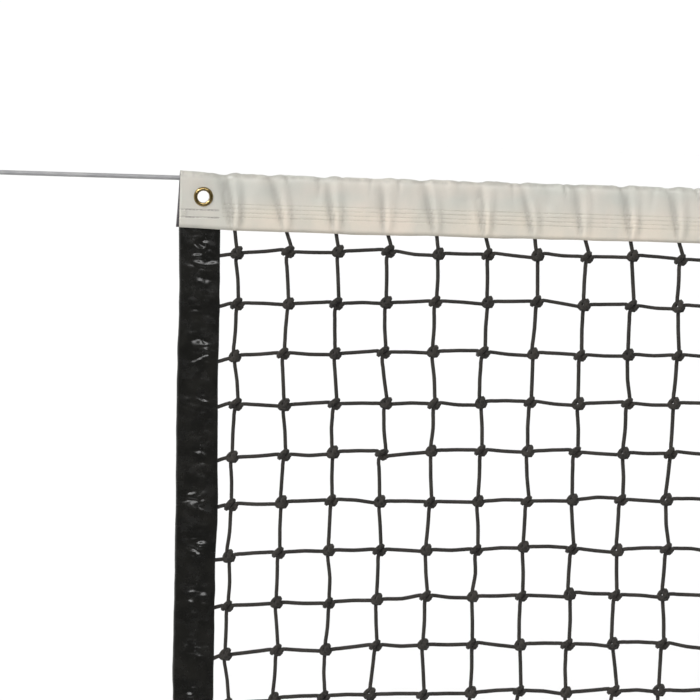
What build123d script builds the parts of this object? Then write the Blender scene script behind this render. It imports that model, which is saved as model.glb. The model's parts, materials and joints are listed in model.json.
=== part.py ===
from build123d import *

import math
import os

# Full-size doubles tennis net, 42 ft by 42 in, hung on its headline cable.
# Millimetres. X runs along the net, Y through it, Z up. The origin is at ground level under the net's middle.

# net panel
NET_LENGTH = 12801.6
NET_HEIGHT = 1066.8
HALF = NET_LENGTH / 2

# netting: square mesh of knotted twine, whose outermost rows and columns are sewn inside the tapes
TWINE_D = 3.2
MESH_HEIGHT = 44.45
ROWS = 24
COLUMNS = 288
FIRST_COLUMN_IN = 52.0
MESH_WIDTH = (NET_LENGTH - 2 * FIRST_COLUMN_IN) / (COLUMNS - 3)
FIRST_ROW_BELOW_HEADBAND = 15.0
TWINE_TAIL = 3.0
ROW_END_CLEARANCE = 2.0

# headband: vinyl strip folded in half over the cable
HEADBAND_HEIGHT = 48.0
HEADBAND_VINYL = 1.0
HEADBAND_GAP = 5.2
HEADBAND_FACE_Y = HEADBAND_GAP / 2 + HEADBAND_VINYL

# side tapes and bottom tape: thinner vinyl, folded over the netting's edge
TAPE_VINYL = 0.85
SIDE_TAPE_WIDTH = 36.0
SIDE_TAPE_GAP = 3.3
SIDE_TAPE_FACE_Y = SIDE_TAPE_GAP / 2 + TAPE_VINYL
SIDE_TAPE_TUCK = 22.0
SIDE_TAPE_TOP = NET_HEIGHT - HEADBAND_HEIGHT + SIDE_TAPE_TUCK
SIDE_TAPE_FOOT = 4.0
BOTTOM_TAPE_HEIGHT = 38.0
BOTTOM_TAPE_GAP = HEADBAND_GAP
BOTTOM_TAPE_FACE_Y = BOTTOM_TAPE_GAP / 2 + TAPE_VINYL

# sewing thread, one straight line of stitches per solid
THREAD_D = 0.7
HEADBAND_ROWS_DOWN = 25.0
HEADBAND_ROW_PITCH = 3.7
HEADBAND_ROW_COUNT = 4
HEADBAND_ROWS_START_IN = 38.0
CORNER_ROWS_DOWN = 30.5
CORNER_ROW_PITCH = 6.5
CORNER_ROWS_START_IN = 3.0
CORNER_ROW_LENGTH = 31.0
CORNER_ROW_COUNT = 2
SIDE_ROW_IN = 23.5
BOTTOM_ROWS_UP = 24.0
BOTTOM_ROW_PITCH = 6.0
BOTTOM_ROW_COUNT = 2

# grommets, one in each top corner
GROMMET_IN = 20.5
GROMMET_DOWN = 19.0
GROMMET_BORE_R = 5.2
GROMMET_BARREL_R = 5.8
GROMMET_FLANGE_R = 8.5
GROMMET_CURL_R = 7.3
GROMMET_RIM = 1.5
GROMMET_LIP = 0.9
WASHER_THICKNESS = 0.7
HOLE_CLEARANCE = 0.1

# headline cable: steel strand in a vinyl jacket, with a swaged eye at each end
CABLE_D = 4.0
CORE_D = 2.8
CORE_CLEARANCE = 0.02
CABLE_TOP_CLEARANCE = 0.3
CABLE_Z = NET_HEIGHT - HEADBAND_VINYL - CABLE_TOP_CLEARANCE - CABLE_D / 2
FREE_CABLE = 200.0
FERRULE_LENGTH = 24.0
FERRULE_HEIGHT = 12.4
FERRULE_THICKNESS = 7.6
FERRULE_FILLET = 1.2
LOOP_LEG_OFFSET = 2.2
LOOP_R = 13.0
LOOP_FROM_FERRULE = 32.0
LOOP_IN_FERRULE = 2.0
THIMBLE_BORE_R = 9.0
THIMBLE_WIDTH = 6.4
THIMBLE_FLANGE_R = 14.2
THIMBLE_EDGE = 0.5

os.makedirs("parts", exist_ok=True)


def folded_section(gap, thickness, width):
    """U section of a strip folded in half: the round fold touches the origin, and the edges point down local Y."""
    inner = gap / 2
    outer = inner + thickness
    with BuildSketch() as section:
        with BuildLine():
            Line((-outer, -width), (-outer, -outer))
            ThreePointArc((-outer, -outer), (0, 0), (outer, -outer))
            Line((outer, -outer), (outer, -width))
            Line((outer, -width), (inner, -width))
            Line((inner, -width), (inner, -outer))
            ThreePointArc((inner, -outer), (0, -thickness), (-inner, -outer))
            Line((-inner, -outer), (-inner, -width))
            Line((-inner, -width), (-outer, -width))
        make_face()
    return section.sketch


def faces_of(face_y):
    """The two places across the net, front and back, where a line of thread lies on a face."""
    return [side * (face_y + THREAD_D / 2) for side in (-1, 1)]


# --- netting -------------------------------------------------------------------------------------

FIRST_ROW_Z = NET_HEIGHT - HEADBAND_HEIGHT - FIRST_ROW_BELOW_HEADBAND
TOP_ROW_Z = FIRST_ROW_Z + MESH_HEIGHT
BOTTOM_ROW_Z = TOP_ROW_Z - (ROWS - 1) * MESH_HEIGHT
ROW_END_IN = SIDE_TAPE_FACE_Y + ROW_END_CLEARANCE
OUTER_COLUMN_X = (COLUMNS - 3) / 2 * MESH_WIDTH

with BuildPart() as horizontal_twines:
    with BuildSketch(Plane.YZ.offset(-HALF + ROW_END_IN)):
        with Locations(*[(0, TOP_ROW_Z - row * MESH_HEIGHT) for row in range(1, ROWS)]):
            Circle(TWINE_D / 2)
    extrude(amount=NET_LENGTH - 2 * ROW_END_IN)
    with BuildSketch(Plane.YZ.offset(-OUTER_COLUMN_X - TWINE_TAIL)):
        with Locations((0, TOP_ROW_Z)):
            Circle(TWINE_D / 2)
    extrude(amount=2 * (OUTER_COLUMN_X + TWINE_TAIL))
horizontal_twines.part.label = "horizontal_twines"
export_step(horizontal_twines.part, "parts/horizontal_twines.step")

with BuildPart() as vertical_twines:
    with BuildSketch(Plane.XY.offset(BOTTOM_ROW_Z - TWINE_TAIL)):
        with GridLocations(MESH_WIDTH, 0, COLUMNS - 2, 1):
            Circle(TWINE_D / 2)
    extrude(amount=TOP_ROW_Z - BOTTOM_ROW_Z + 2 * TWINE_TAIL)
    with BuildSketch(Plane.XY.offset(BOTTOM_ROW_Z - TWINE_TAIL)):
        with Locations((-OUTER_COLUMN_X - MESH_WIDTH, 0), (OUTER_COLUMN_X + MESH_WIDTH, 0)):
            Circle(TWINE_D / 2)
    extrude(amount=SIDE_TAPE_TOP - BOTTOM_ROW_Z)
vertical_twines.part.label = "vertical_twines"
export_step(vertical_twines.part, "parts/vertical_twines.step")

# --- headband and tapes --------------------------------------------------------------------------

GROMMET_Z = NET_HEIGHT - GROMMET_DOWN
GROMMET_X = HALF - GROMMET_IN

with BuildPart() as headband:
    with BuildSketch(Plane(origin=(-HALF, 0, NET_HEIGHT), x_dir=(0, 1, 0), z_dir=(1, 0, 0))):
        add(folded_section(HEADBAND_GAP, HEADBAND_VINYL, HEADBAND_HEIGHT))
    extrude(amount=NET_LENGTH)
    with BuildSketch(Plane.XZ):
        with Locations((-GROMMET_X, GROMMET_Z), (GROMMET_X, GROMMET_Z)):
            Circle(GROMMET_BARREL_R + HOLE_CLEARANCE)
    extrude(amount=2 * HEADBAND_FACE_Y, both=True, mode=Mode.SUBTRACT)
headband.part.label = "headband"
export_step(headband.part, "parts/headband.step")

with BuildPart() as bottom_tape:
    with BuildSketch(Plane(origin=(-HALF, 0, 0), x_dir=(0, -1, 0), z_dir=(1, 0, 0))):
        add(folded_section(BOTTOM_TAPE_GAP, TAPE_VINYL, BOTTOM_TAPE_HEIGHT))
    extrude(amount=NET_LENGTH)
bottom_tape.part.label = "bottom_tape"
export_step(bottom_tape.part, "parts/bottom_tape.step")

for end, sign in (("left", -1), ("right", 1)):
    with BuildPart() as side_tape:
        with BuildSketch(Plane(origin=(sign * HALF, 0, SIDE_TAPE_FOOT), x_dir=(0, -sign, 0), z_dir=(0, 0, 1))):
            add(folded_section(SIDE_TAPE_GAP, TAPE_VINYL, SIDE_TAPE_WIDTH))
        extrude(amount=SIDE_TAPE_TOP - SIDE_TAPE_FOOT)
    side_tape.part.label = f"{end}_side_tape"
    export_step(side_tape.part, f"parts/{end}_side_tape.step")

# --- sewing thread -------------------------------------------------------------------------------

with BuildPart() as headband_thread:
    with BuildSketch(Plane.YZ.offset(-HALF + HEADBAND_ROWS_START_IN)):
        for y in faces_of(HEADBAND_FACE_Y):
            for row in range(HEADBAND_ROW_COUNT):
                with Locations((y, NET_HEIGHT - HEADBAND_ROWS_DOWN - row * HEADBAND_ROW_PITCH)):
                    Circle(THREAD_D / 2)
    extrude(amount=NET_LENGTH - 2 * HEADBAND_ROWS_START_IN)
headband_thread.part.label = "headband_thread"
export_step(headband_thread.part, "parts/headband_thread.step")

with BuildPart() as bottom_tape_thread:
    with BuildSketch(Plane.YZ.offset(-HALF + CORNER_ROWS_START_IN)):
        for y in faces_of(BOTTOM_TAPE_FACE_Y):
            for row in range(BOTTOM_ROW_COUNT):
                with Locations((y, BOTTOM_ROWS_UP + row * BOTTOM_ROW_PITCH)):
                    Circle(THREAD_D / 2)
    extrude(amount=NET_LENGTH - 2 * CORNER_ROWS_START_IN)
bottom_tape_thread.part.label = "bottom_tape_thread"
export_step(bottom_tape_thread.part, "parts/bottom_tape_thread.step")

for end, sign in (("left", -1), ("right", 1)):
    corner_start = -HALF + CORNER_ROWS_START_IN if sign < 0 else HALF - CORNER_ROWS_START_IN - CORNER_ROW_LENGTH
    with BuildPart() as corner_thread:
        with BuildSketch(Plane.YZ.offset(corner_start)):
            for y in faces_of(HEADBAND_FACE_Y):
                for row in range(CORNER_ROW_COUNT):
                    with Locations((y, NET_HEIGHT - CORNER_ROWS_DOWN - row * CORNER_ROW_PITCH)):
                        Circle(THREAD_D / 2)
        extrude(amount=CORNER_ROW_LENGTH)
    corner_thread.part.label = f"{end}_corner_thread"
    export_step(corner_thread.part, f"parts/{end}_corner_thread.step")

    with BuildPart() as side_tape_thread:
        with BuildSketch(Plane.XY.offset(BOTTOM_TAPE_HEIGHT)):
            for y in faces_of(SIDE_TAPE_FACE_Y):
                with Locations((sign * (HALF - SIDE_ROW_IN), y)):
                    Circle(THREAD_D / 2)
        extrude(amount=NET_HEIGHT - HEADBAND_HEIGHT - BOTTOM_TAPE_HEIGHT)
    side_tape_thread.part.label = f"{end}_side_tape_thread"
    export_step(side_tape_thread.part, f"parts/{end}_side_tape_thread.step")

# --- grommets ------------------------------------------------------------------------------------

FRONT_Y = -HEADBAND_FACE_Y
WASHER_Y = HEADBAND_FACE_Y + WASHER_THICKNESS
RIM_MIDDLE_R = (GROMMET_BORE_R + GROMMET_FLANGE_R) / 2
CURL_MIDDLE_R = (GROMMET_BORE_R + GROMMET_CURL_R) / 2

for end, sign in (("left", -1), ("right", 1)):
    grommet_axis = Axis((sign * GROMMET_X, 0, GROMMET_Z), (0, 1, 0))
    grommet_section = Plane(origin=(sign * GROMMET_X, 0, GROMMET_Z), x_dir=(1, 0, 0), z_dir=(0, 0, 1))

    with BuildPart() as grommet_eyelet:
        with BuildSketch(grommet_section):
            with BuildLine():
                Line((GROMMET_BORE_R, FRONT_Y - GROMMET_LIP), (GROMMET_BORE_R, HEADBAND_FACE_Y + GROMMET_LIP))
                ThreePointArc(
                    (GROMMET_BORE_R, HEADBAND_FACE_Y + GROMMET_LIP),
                    (CURL_MIDDLE_R, HEADBAND_FACE_Y + GROMMET_RIM),
                    (GROMMET_CURL_R, WASHER_Y),
                )
                Line((GROMMET_CURL_R, WASHER_Y), (GROMMET_BARREL_R, WASHER_Y))
                Line((GROMMET_BARREL_R, WASHER_Y), (GROMMET_BARREL_R, FRONT_Y))
                Line((GROMMET_BARREL_R, FRONT_Y), (GROMMET_FLANGE_R, FRONT_Y))
                ThreePointArc(
                    (GROMMET_FLANGE_R, FRONT_Y),
                    (RIM_MIDDLE_R, FRONT_Y - GROMMET_RIM),
                    (GROMMET_BORE_R, FRONT_Y - GROMMET_LIP),
                )
            make_face()
        revolve(axis=grommet_axis)
    grommet_eyelet.part.label = f"{end}_grommet_eyelet"
    export_step(grommet_eyelet.part, f"parts/{end}_grommet_eyelet.step")

    with BuildPart() as grommet_washer:
        with BuildSketch(Plane.XZ.offset(-WASHER_Y)):
            with Locations((sign * GROMMET_X, GROMMET_Z)):
                Circle(GROMMET_FLANGE_R)
                Circle(GROMMET_BARREL_R + HOLE_CLEARANCE / 2, mode=Mode.SUBTRACT)
        extrude(amount=WASHER_THICKNESS)
        fillet(grommet_washer.edges().group_by(Axis.Y)[-1].sort_by(SortBy.LENGTH)[-1], WASHER_THICKNESS / 2)
    grommet_washer.part.label = f"{end}_grommet_washer"
    export_step(grommet_washer.part, f"parts/{end}_grommet_washer.step")

# --- headline cable ------------------------------------------------------------------------------

FERRULE_START = HALF + FREE_CABLE
FERRULE_END = FERRULE_START + FERRULE_LENGTH
LOOP_X = FERRULE_END + LOOP_FROM_FERRULE

with BuildPart() as cable_core:
    with BuildSketch(Plane.YZ.offset(-FERRULE_START)):
        with Locations((0, CABLE_Z)):
            Circle(CORE_D / 2)
    extrude(amount=2 * FERRULE_START)
cable_core.part.label = "cable_core"
export_step(cable_core.part, "parts/cable_core.step")


def jacket(start, length):
    """A straight length of the cable's vinyl jacket, from start along X."""
    with BuildPart() as tube:
        with BuildSketch(Plane.YZ.offset(start)):
            with Locations((0, CABLE_Z)):
                Circle(CABLE_D / 2)
                Circle(CORE_D / 2 + CORE_CLEARANCE, mode=Mode.SUBTRACT)
        extrude(amount=length)
    return tube


cable_jacket = jacket(-HALF, NET_LENGTH)
cable_jacket.part.label = "cable_jacket"
export_step(cable_jacket.part, "parts/cable_jacket.step")

# where a loop's leg, starting inside the ferrule, meets the loop's circle at a tangent
leg_start = Vector(LOOP_FROM_FERRULE + LOOP_IN_FERRULE, LOOP_LEG_OFFSET)
tangent_angle = math.atan2(leg_start.Y, leg_start.X) + math.acos(LOOP_R / leg_start.length)
tangent = Vector(LOOP_R * math.cos(tangent_angle), LOOP_R * math.sin(tangent_angle))
print(f"free cable end: straight, {FREE_CABLE:.0f} mm; loop radius {LOOP_R:.1f} mm")

for end, sign in (("left", -1), ("right", 1)):
    cable_end = jacket(-FERRULE_START if sign < 0 else HALF, FREE_CABLE)
    cable_end.part.label = f"{end}_cable_end"
    export_step(cable_end.part, f"parts/{end}_cable_end.step")

    with BuildPart() as ferrule:
        with BuildSketch(Plane.YZ.offset(-FERRULE_END if sign < 0 else FERRULE_START)):
            with Locations((0, CABLE_Z)):
                SlotOverall(FERRULE_HEIGHT, FERRULE_THICKNESS, rotation=90)
        extrude(amount=FERRULE_LENGTH)
        fillet(ferrule.faces().filter_by(Axis.X).edges(), FERRULE_FILLET)
    ferrule.part.label = f"{end}_ferrule"
    export_step(ferrule.part, f"parts/{end}_ferrule.step")

    # the loop's plane: local x points from the loop's centre back towards the net, local y up
    loop_plane = Plane(origin=(sign * LOOP_X, 0, CABLE_Z), x_dir=(-sign, 0, 0), z_dir=(0, sign, 0))
    with BuildPart() as cable_loop:
        with BuildLine(loop_plane) as loop_path:
            Line((leg_start.X, leg_start.Y), (tangent.X, tangent.Y))
            ThreePointArc((tangent.X, tangent.Y), (-LOOP_R, 0), (tangent.X, -tangent.Y))
            Line((tangent.X, -tangent.Y), (leg_start.X, -leg_start.Y))
        with BuildSketch(Plane(origin=loop_path.line @ 0, z_dir=loop_path.line % 0)):
            Circle(CABLE_D / 2)
        sweep(path=loop_path.line)
    cable_loop.part.label = f"{end}_cable_loop"
    export_step(cable_loop.part, f"parts/{end}_cable_loop.step")

    # grooved ring: a rectangle section with a round-bottomed groove for the cable
    thimble_section = Plane(origin=(sign * LOOP_X, 0, CABLE_Z), x_dir=(1, 0, 0), z_dir=(0, 0, 1))
    with BuildPart() as thimble:
        with BuildSketch(thimble_section):
            with Locations(((THIMBLE_BORE_R + THIMBLE_FLANGE_R) / 2, 0)):
                RectangleRounded(THIMBLE_FLANGE_R - THIMBLE_BORE_R, THIMBLE_WIDTH, THIMBLE_EDGE)
            with Locations((LOOP_R, 0)):
                Circle(CABLE_D / 2 + HOLE_CLEARANCE, mode=Mode.SUBTRACT)
            with Locations((LOOP_R + CABLE_D, 0)):
                Rectangle(2 * CABLE_D, CABLE_D + 2 * HOLE_CLEARANCE, mode=Mode.SUBTRACT)
        revolve(axis=Axis((sign * LOOP_X, 0, CABLE_Z), (0, 1, 0)))
    thimble.part.label = f"{end}_thimble"
    export_step(thimble.part, f"parts/{end}_thimble.step")
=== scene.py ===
import json
import math

import bmesh
import bpy
import numpy as np
from mathutils import Matrix, Vector


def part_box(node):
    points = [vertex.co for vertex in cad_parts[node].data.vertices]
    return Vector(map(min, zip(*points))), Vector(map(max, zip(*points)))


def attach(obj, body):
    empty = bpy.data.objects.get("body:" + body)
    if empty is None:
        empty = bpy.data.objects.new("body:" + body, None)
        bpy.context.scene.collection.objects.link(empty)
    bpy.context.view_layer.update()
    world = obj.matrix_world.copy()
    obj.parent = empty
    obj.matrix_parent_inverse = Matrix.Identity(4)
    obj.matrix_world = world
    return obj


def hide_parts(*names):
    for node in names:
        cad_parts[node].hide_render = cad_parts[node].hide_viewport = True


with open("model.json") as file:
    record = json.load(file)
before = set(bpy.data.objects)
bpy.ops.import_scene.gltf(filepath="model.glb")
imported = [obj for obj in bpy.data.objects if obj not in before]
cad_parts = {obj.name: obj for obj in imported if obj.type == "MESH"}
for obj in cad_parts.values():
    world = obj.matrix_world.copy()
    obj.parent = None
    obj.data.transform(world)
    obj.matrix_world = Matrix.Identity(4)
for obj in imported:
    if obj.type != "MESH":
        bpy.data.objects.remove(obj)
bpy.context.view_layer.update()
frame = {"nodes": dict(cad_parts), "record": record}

# Full-size tennis net: a netting of knotted twine with a pale headband and black tapes, hung on a cable.
# Metres, in the CAD frame: X along the net, Y through it with the front at -Y, Z up from the ground.

MM = 0.001

# --- places, from the frame ---

band_low, band_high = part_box("headband")
rows_low, rows_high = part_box("horizontal_twines")
cols_low, cols_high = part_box("vertical_twines")
tape_low, tape_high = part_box("left_side_tape")
foot_low, foot_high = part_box("bottom_tape")
cable_low, cable_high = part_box("cable_jacket")
end_low, end_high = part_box("left_cable_end")

TWINE_D = rows_high.y - rows_low.y
ROWS = 24
COLUMNS = 288
ROW_PITCH = (rows_high.z - rows_low.z - TWINE_D) / (ROWS - 1)
COLUMN_PITCH = (cols_high.x - cols_low.x - TWINE_D) / (COLUMNS - 1)
TOP_ROW_Z = rows_high.z - TWINE_D / 2
FIRST_COLUMN_X = cols_low.x + TWINE_D / 2
NET_END = band_high.x
NET_TOP = band_high.z
BAND_HEIGHT = band_high.z - band_low.z
SIDE_TAPE_WIDTH = tape_high.x - tape_low.x
FOOT_HEIGHT = foot_high.z - foot_low.z
CABLE_Z = (cable_low.z + cable_high.z) / 2
CABLE_D = cable_high.z - cable_low.z
FREE_CABLE = end_high.x - end_low.x
grommets = [m for m in frame["record"]["mounts"] if m["name"].endswith("grommet")]

# the headband's sewn rows: how far below the net's top, and how far in from its ends
BAND_ROWS_DOWN = 25.0 * MM
BAND_ROW_PITCH = 3.7 * MM
BAND_ROWS = [BAND_ROWS_DOWN + i * BAND_ROW_PITCH for i in range(4)]
BAND_ROWS_START_IN = 38.0 * MM
CORNER_ROWS_DOWN = (30.5, 37.0)  # millimetres
CORNER_ROWS_START, CORNER_ROWS_END = 3.0, 34.0  # millimetres
BACK_TACK_DOWN = (31.8, 33.4, 35.2)  # millimetres


def add_object(name, data):
    piece = bpy.data.objects.new(name, data)
    bpy.context.scene.collection.objects.link(piece)
    return piece


# --- camera ---

CAMERA_FROM_CORNER = Vector((-0.085, -1.7445, 0.041))
AIM_FROM_CORNER = Vector((0.1538, 0.0, -0.1507))
CAMERA_ROLL = math.radians(1.95)
CAMERA_LENS = 102.86

corner = Vector((-NET_END, 0, NET_TOP))
camera = add_object("camera", bpy.data.cameras.new("camera"))
look = AIM_FROM_CORNER - CAMERA_FROM_CORNER
turn = look.to_track_quat("-Z", "Y").to_matrix() @ Matrix.Rotation(CAMERA_ROLL, 3, "Z")
camera.matrix_world = Matrix.Translation(corner + CAMERA_FROM_CORNER) @ turn.to_4x4()
camera.data.lens = CAMERA_LENS
camera.data.clip_end = 500
bpy.context.scene.camera = camera

# --- materials ---


class Shade:
    """Builds one node material with few words: every call adds a node and returns its output socket."""

    def __init__(self, name, color, roughness, metallic=0.0, specular=0.5, **fixed):
        self.material = bpy.data.materials.new(name)
        self.material.use_nodes = True
        self.tree = self.material.node_tree
        self.shader = self.tree.nodes["Principled BSDF"]
        self.set(self.shader, "Base Color", (*color, 1.0))
        self.set(self.shader, "Roughness", roughness)
        self.set(self.shader, "Metallic", metallic)
        self.set(self.shader, "Specular IOR Level", specular)
        for key, value in fixed.items():
            self.set(self.shader, key.replace("_", " "), value)

    def set(self, node, key, value):
        if isinstance(value, bpy.types.NodeSocket):
            self.tree.links.new(value, node.inputs[key])
        else:
            node.inputs[key].default_value = value

    def add(self, kind, output, inputs, **settings):
        node = self.tree.nodes.new("ShaderNode" + kind)
        for key, value in settings.items():
            setattr(node, key, value)
        for key, value in inputs.items():
            self.set(node, key, value)
        return node.outputs[output]

    def place(self, x=1.0, y=1.0, z=1.0):
        """Object position, stretched along each axis."""
        spot = self.add("TexCoord", "Object", {})
        return self.add("Mapping", "Vector", {"Vector": spot, "Scale": (x, y, z)})

    def axis(self, name):
        return self.part_of(self.add("TexCoord", "Object", {}), name)

    def noise(self, vector, scale, detail=3.0, rough=0.55):
        keys = {"Vector": vector, "Scale": scale, "Detail": detail, "Roughness": rough}
        return self.add("TexNoise", "Fac", keys)

    def waves(self, direction, scale, x=1.0, y=1.0, z=1.0, distortion=0.0):
        keys = {"Vector": self.place(x, y, z), "Scale": scale, "Distortion": distortion}
        return self.add("TexWave", "Fac", keys, bands_direction=direction)

    def stored(self, name):
        """The three numbers that the mesh keeps at each point under a name."""
        return self.add("Attribute", "Vector", {}, attribute_name=name, attribute_type="GEOMETRY")

    def part_of(self, vector, axis):
        return self.add("SeparateXYZ", axis, {"Vector": vector})

    def math(self, operation, a, b=0.0):
        return self.add("Math", 0, {0: a, 1: b}, operation=operation)

    def ramp(self, value, low, high, to_low=0.0, to_high=1.0):
        keys = {"Value": value, "From Min": low, "From Max": high, "To Min": to_low, "To Max": to_high}
        return self.add("MapRange", "Result", keys, clamp=True, interpolation_type="SMOOTHSTEP")

    def mix(self, factor, a, b):
        mixer = self.tree.nodes.new("ShaderNodeMix")
        mixer.data_type = "RGBA"
        for key, value in ((0, factor), (6, a), (7, b)):
            if isinstance(value, bpy.types.NodeSocket):
                self.tree.links.new(value, mixer.inputs[key])
            else:
                mixer.inputs[key].default_value = value if key == 0 else (*value, 1.0)
        return mixer.outputs[2]

    def over(self, base, color, *amounts):
        """The base with a colour laid over it, as strongly as the product of the amounts."""
        amount = amounts[0]
        for other in amounts[1:]:
            amount = self.math("MULTIPLY", amount, other)
        return self.mix(amount, base, color)

    def color(self, socket):
        self.set(self.shader, "Base Color", socket)

    def roughness(self, socket):
        self.set(self.shader, "Roughness", socket)

    def bump(self, *layers):
        """Each layer is (height socket, depth in millimetres)."""
        normal = None
        for height, depth in layers:
            keys = {"Height": height, "Strength": 1.0, "Distance": depth * MM}
            if normal is not None:
                keys["Normal"] = normal
            normal = self.add("Bump", "Normal", keys)
        self.set(self.shader, "Normal", normal)


def seam_lines(m, height, rows, half):
    """1 along each sewn row, at the given depths below the net's top."""
    lines = None
    for row in rows:
        off = m.math("ABSOLUTE", m.math("SUBTRACT", height, NET_TOP - row))
        line = m.ramp(off, 0.25 * half, half, 1.0, 0.0)
        lines = line if lines is None else m.math("MAXIMUM", lines, line)
    return lines


# the headband's colours
BAND_GREY = (0.405, 0.405, 0.368)
BAND_WARM = (0.490, 0.445, 0.375)
BAND_PINK = (0.520, 0.450, 0.388)
BAND_CLOUD = (0.365, 0.362, 0.327)
BAND_SPECK = (0.34, 0.32, 0.28)
BAND_GRIME = (0.30, 0.27, 0.22)
BAND_CORNER = (0.30, 0.30, 0.275)
BAND_FOLD_SHADE = (0.20, 0.195, 0.175)
BAND_TOP_SHADE = (0.24, 0.235, 0.21)
LONG_ROW_SHADE = (0.30, 0.26, 0.21)
SHORT_ROW_SHADE = (0.16, 0.15, 0.14)
# painted shade for the inner face of the folded sheet, between its layers
INNER_SHADE_DARK, INNER_SHADE_LIGHT = (0.055, 0.050, 0.055), (0.11, 0.10, 0.105)
LONG_ROW_HALF = 1.0 * MM
SHORT_ROW_HALF = 1.1 * MM
BACK_TACK_HALF = 0.9 * MM


def make_band_vinyl():
    """Pale warm-grey coated fabric: satin, yellower and pinker towards its lower edge, grooved along the seams with
    painted shade along them, greyer at the corners, with painted shade in the folds and along its top, and painted
    shade on its inner face."""
    m = Shade("headband_vinyl", (0.5, 0.48, 0.42), 0.42, specular=0.45, Sheen_Weight=0.08, Sheen_Roughness=0.4)
    height = m.axis("Z")
    from_end = m.math("SUBTRACT", NET_END, m.math("ABSOLUTE", m.axis("X")))

    def between(top, bottom, to_top=0.0, to_bottom=1.0):
        """A ramp down the band, from one share of its height below the top to another."""
        return m.ramp(height, NET_TOP - top * BAND_HEIGHT, NET_TOP - bottom * BAND_HEIGHT, to_top, to_bottom)

    clouds = m.noise(m.place(1.0, 1.0, 0.6), 38.0, 4.0)
    patches = m.noise(m.place(1.0, 1.0, 1.5), 16.0, 2.0)
    specks = m.noise(m.place(), 900.0, 2.0)
    # noise that breaks up the painted shade along the seams and along the top
    shade_breakup = m.ramp(m.noise(m.place(1.0, 1.0, 0.3), 130.0, 3.0), 0.30, 0.62, 0.15, 1.0)

    long_rows = seam_lines(m, height, BAND_ROWS, LONG_ROW_HALF)
    long_rows = m.math("MULTIPLY", long_rows, m.ramp(from_end, BAND_ROWS_START_IN - MM, BAND_ROWS_START_IN))
    short_rows = seam_lines(m, height, [row * MM for row in CORNER_ROWS_DOWN], SHORT_ROW_HALF)
    rows_end = CORNER_ROWS_END * MM
    short_rows = m.math("MULTIPLY", short_rows, m.ramp(from_end, rows_end, rows_end + MM, 1.0, 0.0))
    tack = seam_lines(m, height, [row * MM for row in BACK_TACK_DOWN], BACK_TACK_HALF)
    tack = m.math("MULTIPLY", tack, m.ramp(from_end, 1.5 * MM, 4.0 * MM))
    tack = m.math("MULTIPLY", tack, m.ramp(from_end, 5.0 * MM, 8.5 * MM, 1.0, 0.0))

    warm = m.math("MULTIPLY", between(0.25, 0.75), m.ramp(from_end, 0.03, 0.07, 0.35, 1.0))
    base = m.mix(warm, BAND_GREY, BAND_WARM)
    base = m.over(base, BAND_PINK, m.ramp(patches, 0.40, 0.66, 0.0, 0.45))
    base = m.over(base, BAND_CLOUD, m.ramp(clouds, 0.35, 0.72, 0.0, 0.5))
    base = m.over(base, BAND_SPECK, m.ramp(specks, 0.62, 0.74, 0.0, 0.35))
    base = m.over(base, BAND_GRIME, between(0.93, 1.0, 0.0, 0.35))
    # painted shade along the sewn rows and the back-tacks
    base = m.over(base, LONG_ROW_SHADE, long_rows, shade_breakup, 0.20)
    base = m.over(base, SHORT_ROW_SHADE, short_rows, shade_breakup, 0.75)
    base = m.over(base, SHORT_ROW_SHADE, tack, shade_breakup, 0.5)
    base = m.over(base, BAND_CORNER, m.ramp(from_end, 0.030, 0.060, 0.24, 0.0))
    cloth = m.stored("cloth")
    inside, hollow = m.part_of(cloth, "X"), m.part_of(cloth, "Y")
    # painted shade: the vinyl is darkened where its outer face lies deep in a fold
    base = m.over(base, BAND_FOLD_SHADE, hollow, 0.45)
    # painted shade along the top of the band, broken up by noise
    base = m.over(base, BAND_TOP_SHADE, between(0.08, 0.01, 0.0, 0.6), shade_breakup)
    # painted shade: the inner face is coloured dark, mottled, for the shade between the layers
    inner_shade = m.mix(m.ramp(specks, 0.4, 0.6), INNER_SHADE_DARK, INNER_SHADE_LIGHT)
    m.color(m.over(base, inner_shade, m.ramp(inside, 0.3, 0.8)))
    m.roughness(m.ramp(m.noise(m.place(), 210.0, 3.0), 0.3, 0.7, 0.34, 0.50))

    weave = m.math("MULTIPLY", m.waves("X", 330.0, distortion=0.6), m.waves("Z", 330.0, distortion=0.6))
    groove = m.math("MULTIPLY", m.math("MAXIMUM", long_rows, short_rows), -1.0)
    grain = m.noise(m.place(), 1500.0, 3.0)
    unevenness = m.noise(m.place(), 160.0, 3.0)
    m.bump((groove, 0.16), (weave, 0.025), (grain, 0.02), (unevenness, 0.12))
    return m.material


def make_black_vinyl():
    """Glossy black vinyl with a leathery film grain, scuffed grey in streaky patches."""
    m = Shade("black_vinyl", (0.006, 0.006, 0.005), 0.24, specular=0.44)
    clouds = m.noise(m.place(), 55.0, 4.0)
    base = m.mix(m.ramp(clouds, 0.35, 0.7), (0.0042, 0.0041, 0.0034), (0.0080, 0.0077, 0.0064))
    scuffs = m.noise(m.place(1.0, 1.0, 0.35), 420.0, 4.0, 0.7)
    m.color(m.over(base, (0.026, 0.025, 0.022), m.ramp(scuffs, 0.64, 0.80, 0.0, 0.5)))
    m.roughness(m.ramp(m.noise(m.place(), 130.0, 4.0), 0.3, 0.7, 0.15, 0.31))
    m.bump((m.noise(m.place(), 1400.0, 3.0), 0.012), (m.noise(m.place(), 330.0, 3.0, 0.6), 0.07))
    return m.material


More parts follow.
